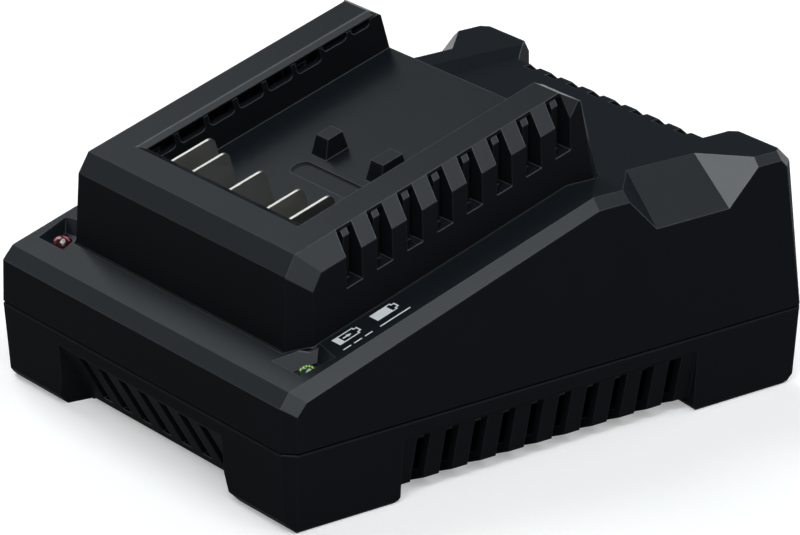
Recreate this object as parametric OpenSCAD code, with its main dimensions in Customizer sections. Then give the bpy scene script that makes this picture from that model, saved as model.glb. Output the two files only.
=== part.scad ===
// Slide-in battery charger: a wedge-shaped two-part housing, a slotted battery
// cradle raised on its sloping deck, two status lights and the mains converter
// inside. Millimetres, +X right, +Y to the back, +Z up, feet on z = 0.

/* [View] */
// which piece to draw

/* [Housing] */
// overall width at the parting line
body_w = 126; // [110:0.5:150]
// overall depth at the parting line
body_l = 160; // [140:0.5:190]
// height of the parting line above the table
part_z = 21.2; // [17:0.1:28]
// wall thickness of both shells
wall = 2.4; // [1.8:0.1:3.2]
// width of the upright corner chamfers at the front
corner_c = 3; // [1:0.1:8]
// width of the upright corner chamfers at the back
rear_corner_c = 1.2; // [1:0.1:4]
// open shadow line between the shells
seam_gap = 0.5; // [0.2:0.1:1]
// bevel of the lower shell's rim at the parting line
seam_bevel = 0.4; // [0.1:0.05:0.6]
// inward lean of the upper walls
upper_draft = 1.2; // [0.5:0.1:3]
// inward lean of the lower walls
lower_draft = 4; // [1:0.1:6]

/* [Deck] */
// height of the front edge of the deck
deck_z = 36; // [30:0.1:44]
// depth of the bevel along the front edge of the deck
front_bevel = 3; // [1:0.1:6]
// height of that bevel
front_bevel_h = 3.5; // [1:0.1:6]
// rise of the sloping deck
deck_angle = 17.1; // [10:0.1:24]
// height of the level rear deck
rear_deck_z = 64; // [56:0.1:72]
// width and height of the bevel along each side of the deck
side_bevel = 2.6; // [1:0.1:5]
// width and height of the bevel along the back of the deck
rear_bevel = 5; // [2:0.1:8]

/* [Rear deck] */
// half width of the sunken middle of the rear deck, at its top edge
dip_half = 43; // [32:0.5:46]
// depth of the sunken middle
dip_depth = 2.8; // [1:0.1:5]
// length of its end that turns down towards the back wall
dip_fall = 11.4; // [8:0.1:16]
// height at which it meets the back wall
dip_end_z = 51; // [48:0.1:58]
// distance of the grip scoops from the back wall
scoop_back = 15.4; // [10:0.1:20]
// length of the grip scoop in each side of the rear deck
scoop_l = 41.1; // [30:0.1:44]
// width of the scoop's sloping face in plan
scoop_w = 13.3; // [8:0.1:13.5]
// drop of the scoop's sloping face
scoop_h = 11; // [5:0.1:14]

/* [Cradle] */
// distance of the cradle's foot behind the front wall
cradle_setback = 12.4; // [11:0.1:16]
// length of the cradle from its foot to the rear end of the slide
cradle_l = 89.3; // [80:0.1:91]
// rise of the battery slide
cradle_angle = 16.5; // [14:0.1:19]
// height of the front top edge of the cradle
cradle_z = 62.7; // [60:0.1:66]
// half width of the opening that takes the battery
slide_half = 33.2; // [30:0.1:35]
// length of the front wall's top, foot to opening
slide_setback = 11.6; // [10:0.1:14]
// depth of the slide floor under the top face, square to it
slide_depth = 12.3; // [9:0.1:13]
// width of the flat top of each rail
rail_w = 10.7; // [9:0.1:12]
// width of the bevel along the outside of each rail
rail_bevel = 4.3; // [2:0.1:5]
// height of that bevel
rail_bevel_h = 5.6; // [3:0.1:8]
// wall thickness of the cradle
cradle_wall = 2.2; // [1.6:0.1:2.6]
// vent slots in each rail
rail_slots = 8; // [4:1:8]
// spacing of the rail slots
rail_pitch = 9; // [7:0.1:9.4]
// width of a rail slot
rail_slot_w = 4.6; // [3:0.1:5.5]
// distance of the first rail slot behind the cradle's foot
rail_slot_start = 18; // [15:0.1:21]
// depth of the rail slots under the top face
rail_slot_h = 13.4; // [9:0.1:15]
// thickness of the top plate over the rail slots
rail_plate = 1.1; // [0.8:0.1:2]
// width of the rib standing in each rail slot
rail_rib_w = 1.8; // [1:0.1:2]
// pockets in the inner face of each rail
rail_pockets = 8; // [4:1:8]
// length of a pocket
pocket_l = 7.5; // [5:0.1:8]
// width of the groove in the deck around the cradle
groove_w = 0.5; // [0.3:0.1:1]
// depth of that groove
groove_depth = 1; // [0.5:0.1:1.4]

/* [Contacts] */
// thickness of a contact blade
blade_t = 0.9; // [0.5:0.1:1.5]
// height of a blade above the slide floor
blade_h = 9.2; // [6:0.1:10]
// distance of the outer blades from the middle
blade_outer_x = 25; // [22:0.1:26]
// distance of the inner blades from the middle
blade_inner_x = 15.8; // [12:0.1:18]
// reach of the outer blades along the slide
blade_outer_l = 20.3; // [16:0.1:21]
// reach of the inner blades along the slide
blade_inner_l = 18.1; // [14:0.1:21]
// height of the contact block under the slide floor
block_h = 7.5; // [5:0.1:9]
// width of the contact block
block_w = 56; // [54:0.5:58]
// length of the contact block along the slide
block_l = 24; // [23:0.5:26]

/* [Vents and feet] */
// half width of the recess between the front feet
recess_half = 35.5; // [25:0.5:45]
// half length of the recess between the side feet
side_recess_half = 45.7; // [35:0.5:55]
// height of the top edge of both recesses
recess_z = 17.3; // [12:0.1:19]
// louvres in the front and in the back recess
front_louvres = 7; // [3:1:9]
// louvres in each side recess
side_louvres = 10; // [5:1:12]
// spacing of the louvres
louvre_pitch = 8.7; // [7:0.1:11]
// width of a louvre
louvre_w = 4; // [2:0.1:6]
// clearance of the belly above the table
belly_z = 1; // [0.5:0.1:3]
// width of the bevel under the inner edges of the feet
foot_bevel = 2.4; // [0.5:0.1:3]
// vent slots across the back edge of the deck
back_slots = 8; // [4:1:8]
// spacing of the back slots
back_pitch = 8.75; // [7:0.05:9]
// width of a back slot
back_slot_w = 4.1; // [3:0.1:5]

/* [Lights] */
// diameter of a light
led_d = 5; // [3:0.1:5.4]
// distance of each light from the side wall
led_inset = 10.2; // [10:0.1:11.5]
// distance of the lights from the front wall
led_setback = 13.4; // [13:0.1:14.5]
// length of a light, flange to dome
led_h = 8.6; // [7:0.1:10]
// depth of a light pocket under the deck
pocket_depth = 3.2; // [2.6:0.1:4]
// depth of the tip of a light under the deck
led_sink = 1.2; // [0.8:0.1:2.5]

/* [Fasteners and inlet] */
// distance of the front housing screws from the side wall
screw_front_inset = 20; // [18:0.5:23]
// distance of the rear housing screws from the side wall
screw_rear_inset = 11; // [10:0.5:14]
// distance of the housing screws from the front and the back wall
screw_setback = 11; // [10:0.5:13]
// diameter of a housing screw
screw_d = 4; // [3:0.1:4.5]
// diameter of a cradle screw and of a board screw
small_screw_d = 3; // [2.5:0.1:3.5]
// diameter of the mains inlet bore
inlet_d = 8.4; // [6:0.1:10]
// height of the mains inlet
inlet_z = 10.6; // [9.5:0.1:12]
// length of the inlet collar
inlet_l = 11; // [9:0.5:14]

/* [Converter] */
// width of the circuit board
board_w = 96; // [94:1:104]
// length of the circuit board
board_l = 112; // [110:1:118]
// thickness of the circuit board
board_t = 1.6; // [1:0.1:2.4]
// height of the underside of the circuit board
board_z = 8; // [7:0.1:9]
// width of the transformer core
core_w = 34; // [30:0.5:36]
// height of the transformer core
core_h = 24; // [20:0.5:25]
// diameter of the mains capacitor
capacitor_d = 20; // [16:0.5:22]
// height of the mains capacitor
capacitor_h = 26; // [20:0.5:30]
// height of the heat sinks
sink_h = 20; // [16:0.5:24]
// outer diameter of the choke
choke_d = 24; // [20:0.5:26]

/* [Hidden] */
$fn = 48;
fit = 0.3;                                    // clearance of pieces that fit together
tan_d = tan(deck_angle);
tan_c = tan(cradle_angle);
front_y = -body_l / 2;                        // front wall at the parting line
back_y = body_l / 2;
deck_y = front_y + front_bevel;               // front edge of the deck
side_x = body_w / 2 - 0.8;                    // side wall under its bevel
seam_lo = part_z - seam_gap / 2;
seam_hi = part_z + seam_gap / 2;
lip_t = wall / 2;                             // half of the wall, shared by lip and rebate
dip_z = rear_deck_z - dip_depth;
dip_floor_half = dip_half - 5.2;
dip_turn_y = back_y - 1 - dip_fall;
post_z = part_z + 0.7;                        // where the screw posts of the shells meet
screw_seat = 5.2;                             // height of the housing screws' bearing face
cradle_foot_y = front_y + cradle_setback;
cradle_y = cradle_foot_y + 3.8;               // front edge of the top face
cradle_rear_y = cradle_foot_y + cradle_l;
cradle_top_half = slide_half + rail_w;
slide_y = cradle_foot_y + slide_setback;      // front of the opening, on the slide floor
rail_slot_y = cradle_foot_y + rail_slot_start;
rail_mid = slide_half + rail_w / 2;
rail_hollow_x = cradle_top_half - 1.4;        // inside of the rail's outer wall
opening_bevel = 1.4;                          // height of the bevel along the opening
blade_x = [-blade_outer_x, -blade_inner_x, 0, blade_inner_x, blade_outer_x];
blade_l = [blade_outer_l, blade_inner_l, blade_inner_l, blade_inner_l, blade_outer_l];
led_x = body_w / 2 - led_inset;
led_y = front_y + led_setback;
board_top = board_z + board_t;
board_y = 1;                                  // middle of the circuit board
block_top = -cradle_wall;                     // under the slide floor, square to it
block_low = block_top - block_h;
lead_d = 1.8;
lead_y = block_l - 2;                         // leads leave the back of the contact board

function deck_h(y) = min(rear_deck_z, deck_z + (y - deck_y) * tan_d);
function top_h(y) = cradle_z + (y - cradle_y) * tan_c;
led_board_top = deck_h(led_y) - led_sink - led_h;
cradle_rear_z = top_h(cradle_rear_y) - slide_depth / cos(cradle_angle);

// ---- helpers ------------------------------------------------------------

// Takes away all that lies beyond a plane through p with outward normal n,
// after the plane has moved inwards by o.
module beyond(p, n, o = 0) {
    u = n / norm(n);
    translate(p - o * u)
        rotate([0, acos(u[2]), atan2(u[1], u[0])])
            translate([-250, -250, 0]) cube([500, 500, 500]);
}

module both_sides() {
    children();
    mirror([1, 0, 0]) children();
}

// A block between two corners.
module block(a, b) {
    translate(a) cube(b - a);
}

// A bar along X whose outline is drawn in the YZ plane.
module bar_x(x0, x1, pts) {
    translate([x0, 0, 0]) rotate([90, 0, 90]) linear_extrude(x1 - x0) polygon(pts);
}

// ---- housing ------------------------------------------------------------

// The outside of the upper shell, moved inwards by o.
module upper_form(o = 0, bottom = part_z) {
    sd = sin(upper_draft);
    difference() {
        block([-body_w, -body_l, bottom], [body_w, body_l, rear_deck_z + 10]);
        for (s = [-1, 1]) {
            beyond([0, s * body_l / 2, part_z], [0, s, sd], o);
            beyond([s * body_w / 2, 0, part_z], [s, 0, sd], o);
            // upright corners, the rear ones widening towards the top
            beyond([s * (body_w / 2 - corner_c / 2), -(body_l / 2 - corner_c / 2), part_z],
                   [s, -1, 1.4 * sd], o);
            beyond([s * (body_w / 2 - rear_corner_c / 2), body_l / 2 - rear_corner_c / 2, part_z],
                   [s, 1, 7 * sd], o);
            // bevels along the sloping and the level part of the deck
            beyond([s * (side_x - side_bevel), deck_y, deck_z], [s, -tan_d, 1], o);
            beyond([s * (side_x - side_bevel), 0, rear_deck_z], [s, 0, 1], o);
            // facets over the corners
            beyond([s * (side_x - side_bevel), deck_y, deck_z], [s * 1.7, -1.07, 1], o);
            beyond([s * (side_x - side_bevel - 1.4), body_l / 2 - 1 - rear_bevel, rear_deck_z - 0.4],
                   [s, 1, 1], o);
        }
        beyond([0, deck_y, deck_z], [0, -front_bevel_h, front_bevel - 0.2], o);
        beyond([0, deck_y, deck_z], [0, -tan_d, 1], o);
        beyond([0, 20, rear_deck_z], [0, 0.012, 1], o);
        beyond([0, body_l / 2 - 1 - rear_bevel, rear_deck_z - 0.6], [0, 1, 1], o);
    }
}

// The grip scoop cut into the right-hand edge of the rear deck.
module scoop(o = 0) {
    end_y = back_y - scoop_back;
    difference() {
        block([20, 0, 20], [body_w, body_l, rear_deck_z + 20]);
        beyond([side_x - scoop_w, 0, rear_deck_z], [-scoop_h, 0, 0.3 - scoop_w], -o);
        beyond([side_x, end_y - scoop_l, rear_deck_z - side_bevel], [-1, -1.1, -1.1], -o);
        beyond([side_x, end_y, rear_deck_z - side_bevel], [-1, 1.03, -1.11], -o);
    }
}

// The sunken middle of the rear deck, from the cradle out over the back wall.
module dip(o = 0) {
    bevel = dip_half - dip_floor_half;
    difference() {
        block([-60, 0, 40], [60, body_l, rear_deck_z + 10]);
        beyond([0, 0, dip_z], [0, 0, -1], -o);
        beyond([0, cradle_rear_y, cradle_rear_z], [0, -1, -tan_c], -o);
        both_sides() beyond([dip_floor_half, 0, dip_z], [dip_depth, 0, -bevel], -o);
    }
    difference() {
        block([-60, 0, 40], [60, body_l, rear_deck_z + 10]);
        beyond([0, dip_turn_y, dip_z], [0, dip_end_z - dip_z, -dip_fall], -o);
        both_sides() beyond([dip_floor_half, dip_turn_y, 0], [1, -0.88, 0], -o);
    }
}

// A light pocket: a funnel in the deck beside the cradle's front corner.
module pocket(o = 0) {
    h = deck_h(led_y);
    difference() {
        block([30, front_y - 10, 20], [body_w / 2, 0, 60]);
        beyond([0, led_y, h - pocket_depth], [0, tan_d, -1], -o);
        beyond([led_x - 7.8, led_y - 4.3, deck_h(led_y - 4.3)], [-8.4, 5.5, -7], -o);
        beyond([led_x - 1.8, led_y + 5.6, h + 1.7], [0.14, 1, -0.45], -o);
        beyond([led_x + 4.2, 0, h], [1, 0, -0.5], -o);
        beyond([0, led_y - 4.8, deck_h(led_y - 4.8)], [0, -1, -0.7], -o);
    }
}

// The deck's opening under the cradle, for the contacts and the air.
module deck_opening() {
    half = block_w / 2 + 2;
    block([-half, slide_y - 4, part_z], [half, slide_y + 72, rear_deck_z + 20]);
}

// The screws that hold the cradle stand square to the deck, between two slots.
module cradle_screw_places() {
    for (k = [0.5, 5.5], s = [-1, 1]) {
        y = rail_slot_y + k * rail_pitch;
        translate([s * rail_mid, y, deck_h(y)]) rotate([deck_angle, 0, 0]) children();
    }
}

module screw_places() {
    both_sides() {
        translate([body_w / 2 - screw_front_inset, front_y + screw_setback, 0]) children();
        translate([body_w / 2 - screw_rear_inset, back_y - screw_setback, 0]) children();
    }
}

module upper_housing() color([0.10, 0.105, 0.11]) {
    difference() {
        union() {
            difference() {
                upper_form(0, seam_hi);
                both_sides() scoop();
                dip();
                difference() {
                    upper_form(wall, 0);
                    both_sides() { scoop(wall); pocket(wall); }
                    dip(wall);
                }
            }
            // screw posts under the deck
            intersection() {
                upper_form(wall / 2, post_z);
                screw_places() cylinder(d = 2 * screw_d, h = rear_deck_z);
            }
            // pegs that carry the light boards
            intersection() {
                upper_form(wall / 2, led_board_top);
                light_places() translate([0, 7.6, 0]) cylinder(d = 3, h = rear_deck_z);
            }
        }
        deck_opening();
        both_sides() pocket();
        // groove in the deck around the cradle's foot
        difference() {
            cradle_form(-groove_w);
            cradle_form(-0.02);
            upper_form(groove_depth);
        }
        light_places() translate([0, 0, led_board_top]) cylinder(d = led_d + fit, h = 30);
        // rebate for the lower shell's lip
        difference() {
            upper_form(lip_t, 0);
            block([-body_w, -body_l, part_z + 2], [body_w, body_l, 100]);
            upper_form(wall + 0.01, -1);
        }
        screw_places() cylinder(d = screw_d - 0.6, h = post_z + 8, $fn = 24);
        cradle_screw_places() translate([0, 0, -8]) cylinder(d = small_screw_d + 0.4, h = 16, $fn = 24);
        back_vents();
    }
}

module light_places() {
    for (s = [-1, 1]) translate([s * led_x, led_y, 0]) children();
}

// Slots from the sunken deck over its edge, down into the back wall.
module back_vents() {
    start = dip_turn_y - 2.3;
    for (i = [0 : back_slots - 1])
        translate([(i - (back_slots - 1) / 2) * back_pitch, 0, 0])
            bar_x(-back_slot_w / 2, back_slot_w / 2,
                  [[start, dip_z + 5], [start, dip_z - wall - 1], [back_y - 4.2, dip_end_z - 13],
                   [back_y + 2, dip_end_z - 13], [back_y + 2, dip_z + 5]]);
}

// The outside of the lower shell, moved inwards by o.
module lower_form(o = 0, top = part_z) {
    sd = sin(lower_draft);
    difference() {
        block([-body_w, -body_l, -5], [body_w, body_l, top]);
        beyond([0, 0, 0], [0, 0, -1], o);
        for (s = [-1, 1]) {
            beyond([0, s * body_l / 2, part_z], [0, s, -sd], o);
            beyond([s * body_w / 2, 0, part_z], [s, 0, -sd], o);
            beyond([0, s * (body_l / 2 - 4), 0], [0, s, -0.95], o);
            beyond([s * (body_w / 2 - 2.2), 0, 0], [s, 0, -1], o);
            for (t = [-1, 1]) {
                c = t < 0 ? corner_c : rear_corner_c;
                beyond([s * (body_w / 2 - c / 2), t * (body_l / 2 - c / 2), part_z],
                       [s, t, -1.4 * sd], o);
            }
        }
    }
}

// The recess between the two front feet, grown by o towards the inside.
module end_recess(o = 0) {
    difference() {
        block([-60, front_y - 15, -10], [60, 0, recess_z + o]);
        beyond([0, front_y + 0.7, recess_z], [0, recess_z - belly_z, 9.3], -o);
        // sides of the feet, bevelled at the bottom
        both_sides() intersection() {
            beyond([recess_half, front_y, 0], [1, 0.15, 0], -o);
            beyond([recess_half + foot_bevel, front_y, 0], [1, 0.15, 0.32], -o);
        }
    }
}

// The recess between the two right-hand feet, grown by o towards the inside.
module side_recess(o = 0) {
    for (part = [[body_w / 2 - 0.6, recess_z, -13.9, 3.2], [body_w / 2 - 3.8, 3.4, -2.4, 5.2]])
        difference() {
            block([20, -70, -10], [body_w, 70, recess_z + o]);
            beyond([part[0], 0, part[1]], [part[2], 0, part[3]], -o);
            for (t = [-1, 1]) intersection() {
                beyond([body_w / 2, t * side_recess_half, 0], [0.1, t, 0], -o);
                beyond([body_w / 2, t * (side_recess_half + foot_bevel / 2), 0], [0.1, t, 0.8], -o);
            }
        }
}

// All that is hollow between and under the feet.
module between_feet(o = 0) {
    end_recess(o);
    mirror([0, 1, 0]) end_recess(o);
    both_sides() side_recess(o);
    block([-recess_half - o, -body_l, -10], [recess_half + o, body_l, belly_z + o]);
    block([-body_w, -side_recess_half - o, -10], [body_w, side_recess_half + o, belly_z + o]);
}

// Louvres of the four recesses; the back has none beside the mains inlet.
module louvres() {
    for (t = [-1, 1], i = [0 : front_louvres - 1]) {
        x = (i - (front_louvres - 1) / 2) * louvre_pitch;
        if (t < 0 || abs(x) > inlet_d / 2 + 4 + louvre_w / 2)
            translate([x, 0, 0]) mirror([0, t > 0 ? 1 : 0, 0])
                bar_x(-louvre_w / 2, louvre_w / 2,
                      [[front_y - 1, recess_z - 1], [front_y + 6, recess_z - 1],
                       [front_y + 14, belly_z + wall], [front_y - 1, belly_z + wall]]);
    }
    both_sides() for (i = [0 : side_louvres - 1])
        translate([0, (i - (side_louvres - 1) / 2) * louvre_pitch, 0])
            block([body_w / 2 - 9, -louvre_w / 2, -1], [body_w / 2 + 1, louvre_w / 2, recess_z - 1]);
}

module lower_housing() color([0.10, 0.105, 0.11]) {
    difference() {
        union() {
            difference() {
                lower_form(0, seam_lo);
                between_feet();
                // bevel around the rim
                for (s = [-1, 1]) {
                    beyond([0, s * (body_l / 2 - seam_bevel), seam_lo], [0, s, 1]);
                    beyond([s * (body_w / 2 - seam_bevel), 0, seam_lo], [s, 0, 1]);
                    for (t = [-1, 1]) {
                        c = (t < 0 ? corner_c : rear_corner_c) + seam_bevel;
                        beyond([s * (body_w / 2 - c / 2), t * (body_l / 2 - c / 2), seam_lo],
                               [s, t, 1.4]);
                    }
                }
                difference() {
                    lower_form(wall, part_z + 1);
                    between_feet(wall);
                }
                louvres();
            }
            // lip that the upper shell drops over
            difference() {
                upper_form(lip_t + fit / 2, seam_lo - 1.5);
                block([-body_w, -body_l, part_z + 1.7], [body_w, body_l, 100]);
                upper_form(wall, 0);
            }
            // screw posts standing in the feet
            screw_places() {
                translate([0, 0, 1]) cylinder(d = 2 * screw_d + 2.2, h = screw_seat + 1.3);
                translate([0, 0, 1]) cylinder(d = 2 * screw_d, h = post_z - 1);
            }
            board_places() translate([0, 0, belly_z + 0.5]) cylinder(d = 7, h = board_z - belly_z - 0.5);
            translate([0, back_y - 1.8 - inlet_l, inlet_z]) rotate([-90, 0, 0])
                cylinder(d = inlet_d + 5, h = inlet_l);
        }
        screw_places() {
            translate([0, 0, -1]) cylinder(d = 2 * screw_d - 0.4, h = screw_seat + 1);
            cylinder(d = screw_d + fit, h = 40, $fn = 24);
        }
        board_places() translate([0, 0, 3.4]) cylinder(d = small_screw_d - 0.6, h = 20, $fn = 24);
        translate([0, back_y - 20, inlet_z]) rotate([-90, 0, 0]) cylinder(d = inlet_d, h = 25);
    }
}

module board_places() {
    for (s = [-1, 1], t = [-1, 1])
        translate([s * (board_w / 2 - 5), t * (board_l / 2 - 5) + board_y, 0]) children();
}

// ---- cradle -------------------------------------------------------------

// Puts its children on the slide floor: y runs up the slide, z square to it.
module on_slide() {
    translate([0, slide_y, top_h(slide_y) - slide_depth / cos(cradle_angle)])
        rotate([cradle_angle, 0, 0]) children();
}

// The outside of the cradle, moved inwards by o.
module cradle_form(o = 0) {
    corner = [cradle_top_half + rail_bevel, cradle_rear_y - 6.2, top_h(cradle_rear_y - 6.2) - rail_bevel_h];
    difference() {
        block([-70, front_y, 20], [70, back_y, 110]);
        beyond([0, cradle_foot_y + 0.9, cradle_z - 5], [0, -18.8, 0.9], o);
        beyond([0, cradle_y, cradle_z], [0, -5.05, 2.9], o);
        beyond([0, cradle_y, cradle_z], [0, -tan_c, 1], o);
        beyond([0, cradle_rear_y, top_h(cradle_rear_y) - slide_depth], [0, 1, tan_c], o);
        beyond([0, cradle_rear_y - 6.2, top_h(cradle_rear_y - 6.2)], [0, 1.7, 3.8], o);
        both_sides() {
            beyond(corner, [1, -0.05 * tan_c, 0.05], o);
            // the bevel stops at a facet short of the rear end
            intersection() {
                beyond([cradle_top_half, cradle_y, cradle_z],
                       [rail_bevel_h, -tan_c * rail_bevel, rail_bevel], o);
                beyond(corner, [0.6, -0.65, 0.465], o);
            }
            // front corner: an upright chamfer under a facet
            beyond([cradle_top_half + 0.8, cradle_foot_y, deck_z + 3], [1, -0.8, 0.065], o);
            beyond([cradle_top_half, cradle_y, cradle_z], [1, -0.587, 0.377], o);
            // upright rear corner, running out at the top of the wall
            beyond([cradle_top_half + rail_bevel, cradle_rear_y - 3, top_h(cradle_rear_y) - 2.8],
                   [1, 0.8, 0.195], o);
        }
    }
}

// The way of the battery, grown by o.
module slide_way(o = 0) {
    on_slide() block([-slide_half - o, -o, -o], [slide_half + o, 200, 60]);
}

// A bar along X between two depths under the sloping top face.
module sloping_bar(x0, x1, y0, y1, low, high) {
    bar_x(x0, x1, [[y0, top_h(y0) - low], [y1, top_h(y1) - low],
                   [y1, top_h(y1) - high], [y0, top_h(y0) - high]]);
}

// Vent slots in the outside of the right-hand rail. Each reaches in under the
// top plate, to the hollow of the rail, and keeps a slim rib in front of it.
module rail_slots() {
    for (i = [0 : rail_slots - 1]) {
        y = rail_slot_y + i * rail_pitch;
        y0 = y - rail_slot_w / 2;
        y1 = y + rail_slot_w / 2;
        difference() {
            union() {
                sloping_bar(cradle_top_half, 70, y0, y1, rail_slot_h, -30);
                sloping_bar(rail_hollow_x - 0.1, 70, y0, y1, rail_slot_h, rail_plate);
            }
            intersection() {
                cradle_form(0.64);
                block([0, y - rail_rib_w / 2 + 0.1, 0], [cradle_top_half + 1, y + rail_rib_w / 2 + 0.1, 110]);
            }
        }
    }
}

// Pockets through the inside of the right-hand rail, round in their lower
// corners; the last two, beside the rear stop, are shallower.
module rail_pockets() {
    for (i = [0 : rail_pockets - 1]) {
        r = 1.2;
        deep = i < 6 ? 5.4 : 3.6;
        y = 4 + i * rail_pitch - (i < 6 ? 0 : 1) + (slide_depth - deep) * sin(cradle_angle);
        l = (i < 7 ? pocket_l : 0.76 * pocket_l) / cos(cradle_angle);
        on_slide() translate([slide_half - 1, y / cos(cradle_angle), slide_depth - deep]) {
            translate([0, 0, r]) cube([5, l, deep - opening_bevel - r - 0.1]);
            translate([0, r, 0]) cube([5, l - 2 * r, 2 * r]);
            for (y = [r, l - r]) translate([0, y, r]) rotate([0, 90, 0]) cylinder(r = r, h = 5);
        }
    }
}

// A tapered stop on the slide floor.
module stop(x0, x1, y0, y1) {
    on_slide() difference() {
        block([x0, y0, -1], [x1, y1, 4.8]);
        beyond([x0, 0, 0], [-1, 0, 0.2]);
        beyond([x1, 0, 0], [1, 0, 0.08]);
        beyond([0, y0, 0], [0, -1, 0.5]);
        beyond([0, y1, 0], [0, 1, 0.05]);
    }
}

module battery_cradle() color([0.10, 0.105, 0.11]) {
    difference() {
        union() {
            difference() {
                cradle_form();
                slide_way();
                difference() {
                    cradle_form(cradle_wall);
                    slide_way(cradle_wall);
                    both_sides() block([rail_hollow_x, front_y, 0], [70, back_y, 110]);
                }
            }
            // bosses for the cradle screws
            intersection() {
                cradle_form(cradle_wall / 2);
                cradle_screw_places() cylinder(d = 2 * small_screw_d + 0.6, h = 40);
            }
            stop(-9.1, -2.9, 37, 44.3);
            stop(13.7, 19.9, 37, 45.8);
        }
        upper_form(0, 0);
        both_sides() { rail_slots(); rail_pockets(); }
        // bevel along the inside of the opening
        on_slide() intersection() {
            block([-slide_half - 1.1, -1.6, slide_depth - 1.9], [slide_half + 1.1, 200, slide_depth + 5]);
            union() {
                both_sides() beyond([slide_half, 0, slide_depth - opening_bevel], [-opening_bevel, 0, 1.1]);
                beyond([0, 0, slide_depth - 1.9], [0, 1.9, 1.6]);
            }
        }
        // shallow oval in the floor
        on_slide() translate([0, 31.5, -0.6]) {
            block([-5.9, -2.8, 0], [18, 2.8, 2]);
            for (x = [-5.9, 18]) translate([x, 0, 0]) cylinder(r = 2.8, h = 2);
        }
        cradle_screw_places() translate([0, 0, -1]) cylinder(d = small_screw_d - 0.4, h = 10, $fn = 24);
        for (i = [0 : 4]) blade(i, fit / 2);
    }
}

// ---- contacts -----------------------------------------------------------

// One upright contact blade with a rounded upper corner, grown by g.
module blade(i, g = 0) {
    t = blade_t / 2 + g;
    r = 1.6;
    on_slide() translate([blade_x[i], 0, 0]) {
        block([-t, 1 - g, block_low - (g > 0 ? 1 : 0)], [t, blade_l[i] + g, blade_h - r]);
        block([-t, 1 - g, 0], [t, blade_l[i] - r, blade_h + g]);
        translate([-t, blade_l[i] - r, blade_h - r]) rotate([0, 90, 0]) cylinder(r = r + g, h = 2 * t);
    }
}

module blade_minus() color([0.72, 0.70, 0.66]) blade(0);
module blade_temp() color([0.72, 0.70, 0.66]) blade(1);
module blade_code() color([0.72, 0.70, 0.66]) blade(2);
module blade_data() color([0.72, 0.70, 0.66]) blade(3);
module blade_plus() color([0.72, 0.70, 0.66]) blade(4);

// The holder of the blades, under the slide floor.
module contact_block() color([0.16, 0.16, 0.17]) {
    difference() {
        on_slide() difference() {
            block([-block_w / 2, -0.5, block_low], [block_w / 2, block_l - 2.5, block_top]);
            // weight-saving grooves between the blades
            for (x = [-1, 1]) block([x * 8 - 4, 3, block_low + 2], [x * 8 + 4, 17, block_top + 1]);
        }
        for (i = [0 : 4]) blade(i, fit / 2);
    }
}

module contact_board() color([0.10, 0.32, 0.18]) {
    on_slide() block([-block_w / 2, -0.5, block_low - board_t], [block_w / 2, block_l, block_low]);
}

// Five leads from the contact board to the circuit board, each with an S-bend.
module contact_leads() color([0.55, 0.10, 0.08]) {
    r = 5;
    for (x = [-20, -10, 0, 10, 20]) translate([x, slide_y + lead_y, 0]) {
        translate([0, 2 * r, board_top]) cylinder(d = lead_d, h = 14, $fn = 24);
        translate([0, r, board_top + 14]) rotate([90, 0, 90]) rotate_extrude(angle = 90, $fn = 24)
            translate([r, 0]) circle(d = lead_d);
        translate([0, r, board_top + 14 + 2 * r]) rotate([90, 0, 90]) rotate([0, 0, 180])
            rotate_extrude(angle = 90, $fn = 24) translate([r, 0]) circle(d = lead_d);
        difference() {
            translate([0, 0, board_top + 14 + 2 * r]) cylinder(d = lead_d, h = 30, $fn = 24);
            translate([-x, -slide_y - lead_y, 0]) on_slide()
                block([-40, -40, block_low - board_t], [40, 60, 60]);
        }
    }
}

// ---- lights -------------------------------------------------------------

module light(s) {
    translate([s * led_x, led_y, led_board_top]) {
        cylinder(d = led_d + 0.9, h = 1);
        cylinder(d = led_d, h = led_h - led_d / 2);
        translate([0, 0, led_h - led_d / 2]) sphere(d = led_d);
    }
}

module red_light() color([0.9, 0.08, 0.06]) light(-1);
module green_light() color([0.1, 0.75, 0.2]) light(1);

// The boards under the lights, held by the pegs of the upper shell.
module light_boards() color([0.10, 0.32, 0.18]) {
    light_places() translate([0, 0, led_board_top - 1.2]) block([-4, -5, 0], [4, 10.5, 1.2]);
}

// ---- converter ----------------------------------------------------------

// A rectangle with round corners, about the middle.
module rounded(w, l, r) {
    square([w - 2 * r, l], center = true);
    square([w, l - 2 * r], center = true);
    for (s = [-1, 1], t = [-1, 1]) translate([s * (w / 2 - r), t * (l / 2 - r)]) circle(r);
}

module on_board(x, y) {
    translate([x, y + board_y, board_top]) children();
}

module circuit_board() color([0.10, 0.32, 0.18]) {
    difference() {
        translate([0, board_y, board_z]) linear_extrude(board_t) rounded(board_w, board_l, 3);
        board_places() cylinder(d = small_screw_d + 0.4, h = 20, $fn = 24);
        // slot between the mains side and the battery side
        on_board(0, -18.5) block([-30, -0.8, -5], [30, 0.8, 5]);
    }
}

module terminal_block() color([0.15, 0.35, 0.20]) {
    on_board(0, 49) difference() {
        block([-8, -4.5, 0], [8, 4.5, 10]);
        for (x = [-4, 4]) translate([x, 0, 0]) {
            translate([0, -0.8, 3]) cylinder(d = 4, h = 10);
            translate([0, 5, 3.2]) rotate([90, 0, 0]) cylinder(d = 3.4, h = 6);
        }
    }
}

module fuse() color([0.75, 0.75, 0.72]) {
    on_board(-22, 49) translate([0, 0, 4.6]) {
        rotate([0, 90, 0]) cylinder(d = 5, h = 20, center = true);
        for (s = [-1, 1]) {
            translate([s * 7.6, 0, 0]) rotate([0, 90, 0]) cylinder(d = 5.8, h = 4.8, center = true);
            block([s * 7.6 - 1.6, -2.4, -4.6], [s * 7.6 + 1.6, 2.4, -0.5]);
        }
    }
}

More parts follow.
